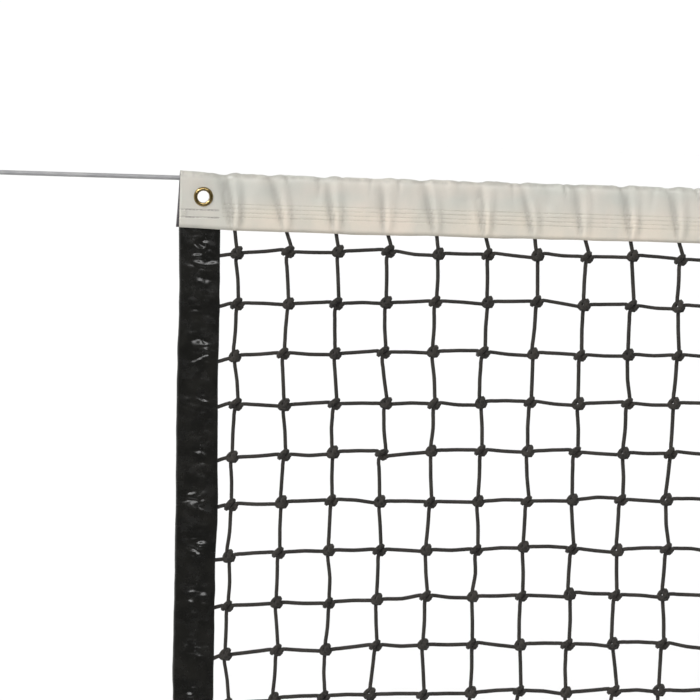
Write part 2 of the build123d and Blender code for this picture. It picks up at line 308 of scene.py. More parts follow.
def make_twine():
    """Matt braided twine: the braid runs along each cord, from the ring and length kept in the mesh."""
    m = Shade("twine", (0.02, 0.018, 0.016), 0.85, specular=0.18, Sheen_Weight=0.04, Sheen_Roughness=0.6)
    braid = m.stored("braid")
    across, through, length = (m.part_of(braid, axis) for axis in "XYZ")
    around = m.math("MULTIPLY", m.math("ARCTAN2", through, across), 3.0)
    along = m.math("MULTIPLY", length, 2 * math.pi)
    right = m.math("SINE", m.math("ADD", around, along))
    left = m.math("SINE", m.math("SUBTRACT", around, along))
    plait = m.math("MAXIMUM", right, left)
    fuzz = m.noise(m.place(), 1700.0, 3.0, 0.65)
    tone = m.noise(m.place(), 60.0, 2.0)
    base = m.mix(m.ramp(tone, 0.35, 0.7), (0.0120, 0.0110, 0.0098), (0.0235, 0.0208, 0.0180))
    # painted highlight: lighter colour on the braid's raised strands
    base = m.over(base, (0.036, 0.032, 0.028), m.ramp(plait, 0.1, 0.9, 0.0, 0.45))
    m.color(m.over(base, (0.055, 0.050, 0.044), m.ramp(fuzz, 0.60, 0.75, 0.0, 0.4)))
    m.roughness(m.ramp(fuzz, 0.3, 0.7, 0.75, 0.95))
    m.bump((plait, 0.16), (fuzz, 0.08))
    return m.material


def make_thread(name, dark, light):
    """Twisted sewing thread."""
    m = Shade(name, light, 0.7, specular=0.3, Sheen_Weight=0.15)
    ply = m.waves("DIAGONAL", 900.0, y=0.4)
    tone = m.noise(m.place(), 240.0, 2.0)
    base = m.mix(m.ramp(tone, 0.3, 0.7), dark, light)
    m.color(m.over(base, tuple(0.7 * c for c in dark), ply, 0.4))
    m.roughness(m.ramp(tone, 0.3, 0.7, 0.6, 0.8))
    m.bump((ply, 0.05))
    return m.material


def make_metal(name, bright, dull, rough_low, rough_high):
    """Worn plated metal: tarnish in clouds, fine scratches, uneven polish."""
    m = Shade(name, bright, rough_low, metallic=1.0)
    clouds = m.noise(m.place(), 260.0, 4.0)
    scratches = m.noise(m.place(1.0, 0.2, 3.0), 600.0, 4.0, 0.7)
    base = m.mix(m.ramp(clouds, 0.45, 0.68), bright, dull)
    m.color(m.over(base, tuple(0.6 * c for c in dull), m.ramp(scratches, 0.58, 0.72, 0.0, 0.4)))
    m.roughness(m.ramp(clouds, 0.3, 0.7, rough_low, rough_high))
    m.bump((scratches, 0.015), (m.noise(m.place(), 450.0, 2.0), 0.03))
    return m.material


def make_strand():
    """Galvanised wire strand: the wires run slantwise round the core, with painted shade between the wires."""
    m = Shade("steel_strand", (0.55, 0.55, 0.56), 0.35, metallic=1.0)
    wires = m.waves("DIAGONAL", 260.0, y=0.5, z=1.2)
    clouds = m.noise(m.place(), 300.0, 3.0)
    base = m.mix(m.ramp(clouds, 0.4, 0.7), (0.55, 0.55, 0.56), (0.36, 0.36, 0.36))
    # painted shade in the grooves between the wires
    m.color(m.over(base, (0.08, 0.08, 0.08), m.ramp(wires, 0.0, 0.35, 1.0, 0.0)))
    m.roughness(m.ramp(clouds, 0.3, 0.7, 0.28, 0.45))
    m.bump((wires, 0.25))
    return m.material


def make_cable_vinyl():
    """Grey vinyl jacket, semi-gloss, with long rubbed streaks and a trace of the strand's lay beneath."""
    m = Shade("cable_vinyl", (0.28, 0.28, 0.28), 0.38, specular=0.5)
    streaks = m.noise(m.place(0.06, 1.0, 1.0), 500.0, 3.0)
    clouds = m.noise(m.place(), 70.0, 4.0)
    base = m.mix(m.ramp(clouds, 0.35, 0.7), (0.205, 0.206, 0.210), (0.265, 0.265, 0.265))
    m.color(m.over(base, (0.16, 0.16, 0.16), m.ramp(streaks, 0.55, 0.75, 0.0, 0.6)))
    m.roughness(m.ramp(clouds, 0.3, 0.7, 0.3, 0.48))
    lay = m.waves("DIAGONAL", 55.0, y=0.6, z=1.4)
    m.bump((lay, 0.05), (m.noise(m.place(0.3, 1.0, 1.0), 900.0, 3.0), 0.02))
    return m.material


finish = {
    "headband_vinyl": make_band_vinyl(),
    "black_vinyl": make_black_vinyl(),
    "twine": make_twine(),
    "white_thread": make_thread("white_thread", (0.36, 0.34, 0.29), (0.55, 0.53, 0.47)),
    "black_thread": make_thread("black_thread", (0.012, 0.012, 0.012), (0.03, 0.03, 0.03)),
    "brass": make_metal("brass", (0.31, 0.225, 0.095), (0.115, 0.085, 0.03), 0.16, 0.32),
    "steel_strand": make_strand(),
    "cable_vinyl": make_cable_vinyl(),
    "ferrule_alloy": make_metal("ferrule_alloy", (0.70, 0.70, 0.71), (0.48, 0.48, 0.49), 0.30, 0.48),
    "thimble_steel": make_metal("thimble_steel", (0.62, 0.62, 0.64), (0.42, 0.42, 0.43), 0.26, 0.44),
}

slot_of = {part["node"]: part["material_slot"] for part in frame["record"]["subparts"]}

# --- free cable ends ---

EXIT_RUN = 6 * CABLE_D


def free_cable(end, sign):
    """The taut cable from the headband's end into its ferrule, on the CAD route's points."""
    start = sign * NET_END
    far = sign * (NET_END + FREE_CABLE)
    route = [start, start + sign * EXIT_RUN, far - sign * EXIT_RUN, far]
    curve = bpy.data.curves.new(f"{end}_free_cable", "CURVE")
    curve.dimensions = "3D"
    spline = curve.splines.new("NURBS")
    spline.points.add(len(route) - 1)
    for point, x in zip(spline.points, route):
        point.co = (x, 0, CABLE_Z, 1)
    spline.order_u = 3
    spline.use_endpoint_u = True
    spline.resolution_u = 12
    curve.bevel_depth = CABLE_D / 2
    curve.bevel_resolution = 8
    curve.use_fill_caps = True
    curve.materials.append(finish["cable_vinyl"])
    piece = add_object(f"{end}_free_cable", curve)
    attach(piece, "headline_cable")
    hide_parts(f"{end}_cable_end")


for end, sign in (("left", -1), ("right", 1)):
    free_cable(end, sign)

# --- mesh helpers ---


def mesh_piece(name, points, faces, slot, **attributes):
    """A smooth mesh object from an (n, 3) array and index arrays of triangles or quads, riding on the net."""
    mesh = bpy.data.meshes.new(name)
    corners = np.concatenate([f.ravel() for f in faces])
    sizes = np.concatenate([np.full(len(f), f.shape[1]) for f in faces])
    mesh.vertices.add(len(points))
    mesh.vertices.foreach_set("co", np.ascontiguousarray(points, np.float32).ravel())
    mesh.loops.add(len(corners))
    mesh.loops.foreach_set("vertex_index", corners.astype(np.int32))
    mesh.polygons.add(len(sizes))
    mesh.polygons.foreach_set("loop_start", (np.cumsum(sizes) - sizes).astype(np.int32))
    mesh.polygons.foreach_set("use_smooth", np.ones(len(sizes), bool))
    for key, values in attributes.items():
        layer = mesh.attributes.new(key, "FLOAT_VECTOR", "POINT")
        layer.data.foreach_set("vector", np.ascontiguousarray(values, np.float32).ravel())
    mesh.update(calc_edges=True)
    mesh.validate()
    mesh.materials.append(finish[slot])
    piece = add_object(name, mesh)
    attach(piece, "net")
    return piece


def smoothstep(low, high, value):
    t = np.clip((value - low) / (high - low), 0.0, 1.0)
    return t * t * (3 - 2 * t)


def wander(random, places, step):
    """Smooth random heights, about -1 to 1, along sorted or unsorted places: one random value each step."""
    low = places.min() - 2 * step
    values = random.normal(0.0, 0.6, int((places.max() - low) / step) + 4)
    at = (places - low) / step
    index = np.floor(at).astype(int)
    t = at - index
    t = t * t * (3 - 2 * t)
    return values[index] * (1 - t) + values[index + 1] * t


# --- netting ---

SIDES = 6
LEG_STEPS = 2
KNOT_SWELL = 0.37
TWINE_R = 0.565 * TWINE_D
KNOT_SIZE = 1.03 * TWINE_D
KNOT_JITTER = 0.8 * MM
KNOT_LIMIT = 2.2 * MM
END_SAG = 6.0 * MM
END_SAG_REACH = 45 * MM
END_WAVE = 2.6 * MM
END_WAVE_LENGTH = 0.72
BOW = 0.5 * MM
BRAID_PITCH = 3.4 * MM
# slow wander of the knots: how far, and over what length
ROW_WANDER_X = (0.9 * MM, 130 * MM)
ROW_WANDER_Z = (0.8 * MM, 90 * MM)
COLUMN_WANDER_X = (1.2 * MM, 200 * MM)
NET_WANDER_Z = (1.6 * MM, 350 * MM)
NET_WANDER_FROM = 0.5
END_WAVE_FADE = 1.2

# a sheet bend in twine diameters: across, up and towards the viewer, its bight's legs pointing up
BIGHT = [(-1.34, 0.92, 0.0), (-0.70, 0.1, -0.1), (-0.62, -0.75, 0.0), (0.0, -1.12, 0.1),
         (0.62, -0.75, 0.05), (0.70, 0.1, -0.1), (0.72, 0.85, -0.05), (0.85, 1.40, 0.0)]
WRAP = [(-1.42, -0.96, -0.2), (-0.95, -0.80, -0.55), (-0.15, -0.6, -0.3), (0.1, -0.05, 1.15), (0.65, 0.5, 1.1),
        (1.30, 0.52, 0.2), (0.45, 0.85, -0.85), (-0.8, 0.8, -0.75), (-1.30, 0.35, 0.15), (-0.8, 0.0, 0.8),
        (0.15, -0.35, 0.7), (1.38, -0.88, 0.3)]
LEG_BEND = 0.42


def knot_template(strand, turned):
    """The strand's points as x, y and z offsets; the turned knot is the same one seen from behind."""
    points = np.array(strand, float)
    if turned:
        points = (points * (-1, 1, -1))[::-1]
    across, up, near = points.T
    return KNOT_SIZE * np.stack([(across - up) / math.sqrt(2), -near, (across + up) / math.sqrt(2)], axis=1)


def spline_weights(strand, step):
    """Weights that turn a strand's control points into its rings' centres. The control points are the twine's
    middle, a point on the leg, the knot's points, a point on the other leg and the middle on that side.
    Also gives the weights of the directions at the two ends, and how far inside the knot each ring is."""
    points = np.array(strand, float) * KNOT_SIZE
    exits = points[[0, -1]]
    ends = np.sign(exits) * (1, 1, 0) * (COLUMN_PITCH / 2) / math.sqrt(2)
    legs = exits + LEG_BEND * (ends - exits)
    chain = np.vstack([ends[:1], legs[:1], points, legs[1:], ends[1:]])
    spans = np.linalg.norm(np.diff(chain, axis=0), axis=1)
    places = np.concatenate([[0.0], np.cumsum(spans)])
    count = len(chain)
    leg = np.concatenate([np.linspace(0, places[1], LEG_STEPS + 1)[:-1],
                          np.linspace(places[1], places[2], LEG_STEPS + 1)[:-1]])
    inner = np.linspace(places[2], places[-3], int(round((places[-3] - places[2]) / step)) + 1)
    far_leg = np.concatenate([np.linspace(places[-3], places[-2], LEG_STEPS + 1)[1:],
                              np.linspace(places[-2], places[-1], LEG_STEPS + 1)[1:]])
    at = np.concatenate([leg, inner, far_leg])
    slope = np.zeros((count, count))
    for i in range(1, count - 1):
        slope[i, i + 1] = 1 / (spans[i - 1] + spans[i])
        slope[i, i - 1] = -slope[i, i + 1]
    index = np.clip(np.searchsorted(places, at, side="right") - 1, 0, count - 2)
    h = spans[index]
    t = (at - places[index]) / h
    leave, arrive = (t**3 - 2 * t**2 + t) * h, (t**3 - t**2) * h
    weights = (2 * t**3 - 3 * t**2 + 1)[:, None] * np.eye(count)[index]
    weights += (3 * t**2 - 2 * t**3)[:, None] * np.eye(count)[index + 1]
    weights += leave[:, None] * slope[index] + arrive[:, None] * slope[index + 1]
    depth = smoothstep(places[2], places[4], at) * (1 - smoothstep(places[-5], places[-3], at))
    return weights, leave * (index == 0), arrive * (index == count - 2), depth


def unit(vectors):
    return vectors / np.maximum(np.linalg.norm(vectors, axis=-1, keepdims=True), 1e-12)


def tube_rings(paths, radius, first, last):
    """Rings of points around many paths at once. first and last fix the directions at the paths' ends."""
    n, k, _ = paths.shape
    ahead = np.empty_like(paths)
    ahead[:, 1:-1] = paths[:, 2:] - paths[:, :-2]
    ahead[:, 0], ahead[:, -1] = first, last
    ahead = unit(ahead)
    through = np.broadcast_to(np.array([0.0, 1.0, 0.0]), (n, 3))

    def square(reference, direction):
        return unit(reference - (reference * direction).sum(1, keepdims=True) * direction)

    side = np.empty_like(paths)
    side[:, 0] = square(through, ahead[:, 0])
    for i in range(1, k):
        side[:, i] = square(side[:, i - 1], ahead[:, i])
    # the rings turn slowly so that the last one starts on the same side of the twine as the first
    wanted = square(through, ahead[:, -1])
    other = np.cross(ahead[:, -1], side[:, -1])
    twist = np.arctan2((wanted * other).sum(1), (wanted * side[:, -1]).sum(1))
    step = 2 * math.pi / SIDES
    twist = (twist + step / 2) % step - step / 2
    length = np.concatenate([np.zeros((n, 1)), np.cumsum(np.linalg.norm(np.diff(paths, axis=1), axis=2), 1)], 1)
    angle = (twist[:, None] * length / length[:, -1:])[:, :, None] + step * np.arange(SIDES)
    other = np.cross(ahead, side)
    ring = np.cos(angle)[..., None] * side[:, :, None] + np.sin(angle)[..., None] * other[:, :, None]
    points = paths[:, :, None] + radius[:, None, None] * ring
    fine = length / BRAID_PITCH
    turns = np.maximum(np.round(fine[:, -1:]), 1)
    turned_by = np.broadcast_to((fine * turns / fine[:, -1:])[..., None], angle.shape)
    braid = np.stack([np.cos(angle), np.sin(angle), turned_by], -1)
    return points.reshape(-1, 3), braid.reshape(-1, 3)


def tube_faces(n, k, sides=SIDES):
    """Quads between the rings of n tubes of k rings each."""
    ring = np.arange(sides)
    quad = np.stack([ring, (ring + 1) % sides, (ring + 1) % sides + sides, ring + sides], axis=1)
    start = (np.arange(n)[:, None] * k + np.arange(k - 1)).reshape(-1, 1, 1) * sides
    return (start + quad).reshape(-1, 4)


random = np.random.default_rng(7)
row_numbers = np.arange(1, ROWS - 1)
column_numbers = np.arange(1, COLUMNS - 1)
shape = (len(row_numbers), len(column_numbers))
knots = np.zeros((*shape, 3))
knots[..., 0] = FIRST_COLUMN_X + column_numbers * COLUMN_PITCH
knots[..., 2] = (TOP_ROW_Z - row_numbers * ROW_PITCH)[:, None]
# small scatter at each knot, slower wander along the rows and columns, and a sag beside the side tapes
for axis, share in ((0, 1.0), (1, 0.5), (2, 1.0)):
    knots[..., axis] += np.clip(random.normal(0, share * KNOT_JITTER, shape), -KNOT_LIMIT, KNOT_LIMIT)
long_way = knots[0, :, 0].copy()
for row in range(shape[0]):
    knots[row, :, 0] += ROW_WANDER_X[0] * wander(random, long_way, ROW_WANDER_X[1])
    knots[row, :, 2] += ROW_WANDER_Z[0] * wander(random, long_way, ROW_WANDER_Z[1])
knots[..., 0] += COLUMN_WANDER_X[0] * wander(random, long_way, COLUMN_WANDER_X[1])
from_end = np.minimum(long_way - long_way[0], long_way[-1] - long_way)
knots[..., 2] -= END_WAVE * np.cos(2 * math.pi * from_end / END_WAVE_LENGTH) * np.exp(-from_end / END_WAVE_FADE)
inland = 1 - np.exp(-from_end / NET_WANDER_FROM)
knots[..., 2] += NET_WANDER_Z[0] * wander(random, long_way, NET_WANDER_Z[1]) * inland
# the middle rows sag most
hang = smoothstep(-0.5, 7.0, row_numbers) * smoothstep(ROWS - 1.0, ROWS - 8.0, row_numbers)
knots[..., 2] -= END_SAG * hang[:, None] * np.exp(-from_end / END_SAG_REACH)

turned = (row_numbers[:, None] + column_numbers) % 2 == 1
spin = random.normal(0, math.radians(5), shape)
size = random.normal(1.0, 0.05, shape)


def knot_points(strand):
    """The strand's points in every knot of the net: rows, columns, points."""
    plain = knot_template(strand, False)
    flipped = knot_template(strand, True)
    offsets = np.where(turned[..., None, None], flipped, plain) * size[..., None, None]
    cos, sin = np.cos(spin)[..., None], np.sin(spin)[..., None]
    x = offsets[..., 0] * cos - offsets[..., 2] * sin
    z = offsets[..., 0] * sin + offsets[..., 2] * cos
    return knots[..., None, :] + np.stack([x, offsets[..., 1], z], axis=-1)


bights = knot_points(BIGHT)
wraps = knot_points(WRAP)
exit_west, exit_north = bights[:, :, 0], bights[:, :, -1]
exit_south, exit_east = wraps[:, :, 0], wraps[:, :, -1]

# the twine's middle between two knots, bowed a little, and its direction there
across = (exit_west[:, 1:] + exit_east[:, :-1]) / 2
across += random.normal(0, BOW, across.shape) * (0, 0.6, 1)
down = (exit_north[1:] + exit_south[:-1]) / 2
down += random.normal(0, BOW, down.shape) * (1, 0.6, 0)
across_way = unit(exit_west[:, 1:] - exit_east[:, :-1])
down_way = unit(exit_south[:-1] - exit_north[1:])

# at the net's edges the twines run on into the tapes
TAPE_ENTRY = 6 * MM
TAPE_DROOP = (2.5, 8.0)  # millimetres
BAND_ENTRY = 9 * MM
BAND_LEAN = 4.6 * MM
BAND_LEAN_SPREAD = 0.9 * MM
FOOT_SPREAD = MM


def in_plane(x, z):
    """Points at Y = 0 from places along the net and up it, either of which may be one number."""
    x, z = np.broadcast_arrays(x, z)
    return np.stack([x, np.zeros(x.shape), z], axis=1)


tape_edge = NET_END - SIDE_TAPE_WIDTH
droop = random.uniform(*TAPE_DROOP, (2, shape[0])) * MM
into_left = in_plane(-tape_edge - TAPE_ENTRY, knots[:, 0, 2] - droop[0])
into_right = in_plane(tape_edge + TAPE_ENTRY, knots[:, -1, 2] - droop[1])
lean = BAND_LEAN + random.normal(0, BAND_LEAN_SPREAD, shape[1])
into_band = in_plane(knots[0, :, 0] - lean, band_low.z + BAND_ENTRY)
into_foot = in_plane(knots[-1, :, 0] + random.normal(0, FOOT_SPREAD, shape[1]), FOOT_HEIGHT - BAND_ENTRY)
west = np.concatenate([into_left[:, None], across], axis=1)
east = np.concatenate([across, into_right[:, None]], axis=1)
north = np.concatenate([into_band[None], down], axis=0)
south = np.concatenate([down, into_foot[None]], axis=0)
west_way = np.concatenate([unit(exit_west[:, :1] - into_left[:, None]), across_way], axis=1)
east_way = np.concatenate([across_way, unit(into_right[:, None] - exit_east[:, -1:])], axis=1)
north_way = np.concatenate([unit(into_band[None] - exit_north[:1]), down_way], axis=0)
south_way = np.concatenate([down_way, unit(exit_south[-1:] - into_foot[None])], axis=0)


def strand_paths(inner, first, last):
    """One row's strand from the twine's middle on one side of each knot to that on the other side."""
    first, last = first[:, None], last[:, None]
    first_leg = inner[:, :1] + LEG_BEND * (first - inner[:, :1])
    last_leg = inner[:, -1:] + LEG_BEND * (last - inner[:, -1:])
    return np.concatenate([first, first_leg, inner, last_leg, last], axis=1)


KNOT_STEP = 2.1 * MM
bight_spline = spline_weights(BIGHT, KNOT_STEP)
wrap_spline = spline_weights(WRAP, KNOT_STEP)
for row, number in enumerate(row_numbers):
    all_points, all_braid, all_faces = [], [], []
    total = 0
    for strand, spline, first, last, first_way, last_way in (
        (bights, bight_spline, west, north, west_way, north_way),
        (wraps, wrap_spline, south, east, south_way, east_way),
    ):
        weights, leave, arrive, depth = spline
        controls = strand_paths(strand[row], first[row], last[row])
        paths = np.einsum("sc,nci->nsi", weights, controls)
        paths += leave[:, None] * first_way[row][:, None] + arrive[:, None] * last_way[row][:, None]
        points, braid = tube_rings(paths, TWINE_R * (1 + KNOT_SWELL * depth), first_way[row], last_way[row])
        all_faces.append(tube_faces(len(paths), len(weights)) + total)
        all_points.append(points)
        all_braid.append(braid)
        total += len(points)
    piece = mesh_piece(f"netting_row_{number:02d}", np.concatenate(all_points), all_faces,
                       "twine", braid=np.concatenate(all_braid))
    if row == 0:
        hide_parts("horizontal_twines", "vertical_twines")

# --- folded vinyl strips ---

RELIEF_STEPS = 60
INNER_EVERY = 3
HOLLOW_REACH = 3
HOLLOW_DEPTH = 0.7 * MM


def add_fold(relief, along, down, at, depth_at, reach, width, height, lean=0.0):
    """Adds one soft fold to a relief: narrow along the strip, long across it, leaning as it runs."""
    window = 3 * width + abs(lean) * reach * 2
    rows = slice(*np.searchsorted(along, [at - window, at + window]))
    across = (along[rows, None] - at - lean * (down[None, :] - depth_at)) / width
    run = (down[None, :] - depth_at) / reach
    relief[rows] += height * np.exp(-(across**2) - run**2)


class Strip:
    """A vinyl strip folded in half over an edge: a closed sheet with a front face, a round fold and a back."""

    def __init__(self, width, gap, thickness, along, face_steps, fold_steps, place):
        outer = gap / 2 + thickness
        face = np.linspace(width, outer, face_steps + 1)
        bend = np.linspace(0, math.pi, fold_steps + 1)[1:-1]
        ones = np.ones(face_steps + 1)
        self.out = np.concatenate([-outer * ones, -outer * np.cos(bend), outer * ones])
        self.down = np.concatenate([face, outer - outer * np.sin(bend), face[::-1]])
        self.normal_out = np.concatenate([-ones, -np.cos(bend), ones])
        self.normal_down = np.concatenate([0 * ones, -np.sin(bend), 0 * ones])
        self.width, self.thickness, self.outer = width, thickness, outer
        self.along, self.place = along, place
        self.grid = np.linspace(0, width, RELIEF_STEPS)
        self.front = np.zeros((len(along), len(self.grid)))
        self.back = np.zeros((len(along), len(self.grid)))
        self.sag = np.zeros((len(along), len(self.down)))
        self.skew = np.zeros((len(along), len(self.down)))

    def piece(self, name, slot):
        """The sheet's mesh, with its faces pushed out by the reliefs."""
        share = (1 + self.normal_out) / 2
        front = np.stack([np.interp(self.down, self.grid, row) for row in self.front])
        back = np.stack([np.interp(self.down, self.grid, row) for row in self.back])
        push = front * (1 - share) + back * share
        out = self.out + push * self.normal_out
        down = self.down + push * self.normal_down + self.sag
        k = len(self.down)
        keep = np.unique(np.append(np.arange(0, k, INNER_EVERY), k - 1))[::-1]
        inner_out = (out - self.thickness * self.normal_out)[:, keep]
        inner_down = (down - self.thickness * self.normal_down)[:, keep]
        out = np.concatenate([out, inner_out], axis=1)
        down = np.concatenate([down, inner_down], axis=1)
        along = self.along[:, None] + np.concatenate([self.skew, self.skew[:, keep]], axis=1)
        points = self.place(along, out, down).reshape(-1, 3)
        ring = k + len(keep)
        # cloth holds the inner face, 0 or 1, and how deep in a fold the outer face lies; the vinyl's painted shade
        # is drawn from both
        cloth = np.zeros((len(self.along), ring, 3))
        cloth[:, k:, 0] = 1.0
        padded = np.pad(push, ((HOLLOW_REACH, HOLLOW_REACH), (0, 0)), mode="edge")
        sums = np.cumsum(np.vstack([np.zeros((1, k)), padded]), axis=0)
        window = 2 * HOLLOW_REACH + 1
        cloth[:, :k, 1] = np.clip(((sums[window:] - sums[:-window]) / window - push) / HOLLOW_DEPTH, 0, 1)
        caps = []
        for i in range(len(keep) - 1):
            high, low = keep[i], keep[i + 1]
            inner_high, inner_low = k + i, k + i + 1
            caps += [(inner_low, o, o + 1) for o in range(low, high)]
            caps.append((inner_low, high, inner_high))
        first = np.array(caps)
        last = first[:, ::-1] + (len(self.along) - 1) * ring
        sheet = mesh_piece(name, points, [tube_faces(1, len(self.along), ring), first, last], slot,
                           cloth=cloth.reshape(-1, 3))
        work = bmesh.new()
        work.from_mesh(sheet.data)
        bmesh.ops.recalc_face_normals(work, faces=work.faces)
        work.to_mesh(sheet.data)
        work.free()
        return sheet

    def surface(self, relief, side, along, down):
        """Points on one face, side -1 for the front and 1 for the back, at places along and down the strip."""
        i = np.clip(np.interp(along, self.along, np.arange(len(self.along))), 0, len(self.along) - 1.001)
        j = np.clip(down / self.width * (len(self.grid) - 1), 0, len(self.grid) - 1.001)
        i0, j0 = i.astype(int), j.astype(int)
        u, v = i - i0, j - j0
        push = (relief[i0, j0] * (1 - u) * (1 - v) + relief[i0 + 1, j0] * u * (1 - v)
                + relief[i0, j0 + 1] * (1 - u) * v + relief[i0 + 1, j0 + 1] * u * v)
        return self.place(along, side * (self.outer + push), down)


STITCH_PITCH = 3.2 * MM
STITCH_LENGTH = 2.7 * MM
STITCH_WIDTH = 0.62 * MM
STITCH_SINK = 0.22 * MM


def stitches(name, slot, strip, relief, side, rows, node=None):
    """Short thread stitches on one face of a strip. Each row is (start along, end along, down)."""
    starts = [np.arange(low, high - STITCH_LENGTH, STITCH_PITCH) for low, high, _ in rows]
    along = np.concatenate(starts)
    down = np.concatenate([np.full(len(a), row[2]) for a, row in zip(starts, rows)])
    head = strip.surface(relief, side, along, down)
    tail = strip.surface(relief, side, along + STITCH_LENGTH, down)
    middle = (head + tail) / 2
    outward = np.array([0.0, side, 0.0])
    across = unit(np.cross(unit(tail - head), outward))
    ring = [middle + across * STITCH_WIDTH / 2, middle + outward * STITCH_WIDTH / 2,
            middle - across * STITCH_WIDTH / 2, middle - outward * STITCH_WIDTH / 2]
    sink = outward * STITCH_SINK
    points = np.stack([head - sink, tail - sink, *ring], axis=1).reshape(-1, 3)
    one = [(0, 2 + i, 2 + (i + 1) % 4) for i in range(4)] + [(1, 2 + (i + 1) % 4, 2 + i) for i in range(4)]
    faces = (np.arange(len(along))[:, None, None] * 6 + np.array(one)).reshape(-1, 3)
    piece = mesh_piece(name, points, [faces], slot)
    if node:
        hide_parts(node)
    return piece


def both_faces(name, slot, strip, rows, node):
    """A seam's stitches on both faces of a strip. The front ones stand for the CAD's thread."""
    return [stitches(f"{name}_front", slot, strip, strip.front, -1, rows, node),
            stitches(f"{name}_back", slot, strip, strip.back, 1, rows)]


# --- headband ---

# fine steps near the headband's ends, which have the grommets and corner seams, coarser between
FINE_STEP = 1.5 * MM
COARSE_STEP = 7.0 * MM
FINE_RUN = 0.5
SQUEEZE = 4.0 * MM
PUCKER_OFFSET = 9.0 * MM
BAND_VINYL = 1.0 * MM
CORNER_PEAK = 2.2 * MM
CORNER_PEAK_RUN = 38.0 * MM
CORNER_LIFT = 1.9 * MM
CORNER_LIFT_RUN = 70.0 * MM
CORNER_SKEW = 2.4 * MM
CORNER_SKEW_RUN = 30 * MM
PUCKER_RANGE = (1.2, 2.3)  # millimetres
CORNER_PUCKER = 3.3 * MM
BACK_PUCKER_SHARE = 0.8
PUCKER_DRIFT = 9.0
PUCKER_DRIFT_SPREAD = 2.5
PUCKER_REACH = 36 * MM
GATHERS_FROM_END = 24 * MM
GATHER_SPACING = (10, 30)  # millimetres
DEEP_SHARE = 0.35
GROMMET_FLAT, GROMMET_FADE = 8.5 * MM, 15 * MM
END_FLAT, END_FADE = 2 * MM, 34 * MM
TOP_FULLNESS = 1.2 * MM
CABLE_ROOM = 0.15 * MM
BELOW_CABLE_ROOM = 1.55 * MM
DENT_WIDTH = 1.9 * MM
CREST = 0.55 * MM
CREST_LEAST = 0.35 * MM
HEM_WAVE = (0.35 * MM, 22 * MM)

fine = np.arange(0, FINE_RUN, FINE_STEP)
coarse_from, coarse_to = FINE_RUN + 1.3 * SQUEEZE, 2 * NET_END - FINE_RUN - 1.3 * SQUEEZE
coarse = np.linspace(coarse_from, coarse_to, int((coarse_to - coarse_from) / COARSE_STEP))
column_x = FIRST_COLUMN_X + column_numbers * COLUMN_PITCH
# the coarse steps crowd together at the puckers
phase = (coarse - NET_END - FIRST_COLUMN_X + PUCKER_OFFSET) / COLUMN_PITCH
coarse -= SQUEEZE * np.sin(2 * math.pi * phase)
band_along = np.concatenate([fine, coarse, 2 * NET_END - fine[::-1]]) - NET_END


def band_place(along, out, down):
    return np.stack(np.broadcast_arrays(along, out, NET_TOP - down), axis=-1)


band = Strip(BAND_HEIGHT, band_high.y - band_low.y - 2 * BAND_VINYL, BAND_VINYL, band_along, 11, 8, band_place)


def pucker_band(relief, random, pucker, drift):
    """One face of the headband: a pucker over every sewn twine, pillows between them, gathers along the top."""
    along, down = band.along, band.grid
    rise = 1 - down / band.width
    for x, strength, shift in zip(column_x, pucker, drift):
        rows = slice(*np.searchsorted(along, [x - PUCKER_REACH, x + PUCKER_REACH]))
        v = along[rows, None] - (x - BAND_LEAN - 1.0 * MM - shift * rise**1.2)
        valley = -1.25 * np.exp(-((v / ((2.0 + 4.6 * rise) * MM)) ** 2))
        ridge = 1.05 * np.exp(-(((v - (3.8 + 3.0 * rise) * MM) / ((2.2 + 3.6 * rise) * MM)) ** 2))
        pillow = 0.55 * np.exp(-(((v - 20 * MM) / (11 * MM)) ** 2)) * np.exp(-(((rise - 0.55) / 0.35) ** 2))
        envelope = smoothstep(0.0, 0.22, rise) * (1 - 0.55 * smoothstep(0.5, 1.0, rise))
        relief[rows] += strength * (envelope * (valley + ridge) + pillow)
    dents = []
    at = -NET_END + GATHERS_FROM_END
    while at < NET_END - GATHERS_FROM_END:
        deep = random.uniform(0, 1) < DEEP_SHARE
        depth = random.uniform(0.8, 1.6) * MM if deep else random.uniform(0.25, 0.8) * MM
        reach = random.uniform(5, 13) * MM if deep else random.uniform(8, 24) * MM
        width = random.uniform(1.3, 2.4) * MM if deep else random.uniform(2.4, 5.0) * MM
        add_fold(relief, along, down, at, 0.0, reach, width, -depth, random.normal(0.15, 0.2))
        if deep:
            dents.append((at, depth))
        at += random.uniform(*GATHER_SPACING) * MM
    relief += 0.8 * MM * wander(random, along, 17 * MM)[:, None] * np.exp(-(((rise - 0.75) / 0.3) ** 2))
    relief += 0.45 * MM * wander(random, along, 31 * MM)[:, None] * np.exp(-(((rise - 0.2) / 0.3) ** 2))
    relief += TOP_FULLNESS * smoothstep(0.60, 0.92, rise)
    ends = np.minimum(along + NET_END, NET_END - along)[:, None]
    relief *= 0.4 + 0.6 * smoothstep(END_FLAT, END_FADE, ends)
    for grommet in grommets:
        gx, _, gz = grommet["pos_m"]
        reach = np.hypot(along[:, None] - gx, down - (NET_TOP - gz))
        relief *= smoothstep(GROMMET_FLAT, GROMMET_FADE, reach)
    # over the cable the sheet has little room to sink
    floor = -(CABLE_ROOM + BELOW_CABLE_ROOM * smoothstep(5.0 * MM, 10.0 * MM, down))
    np.maximum(relief, floor, out=relief)
    return dents


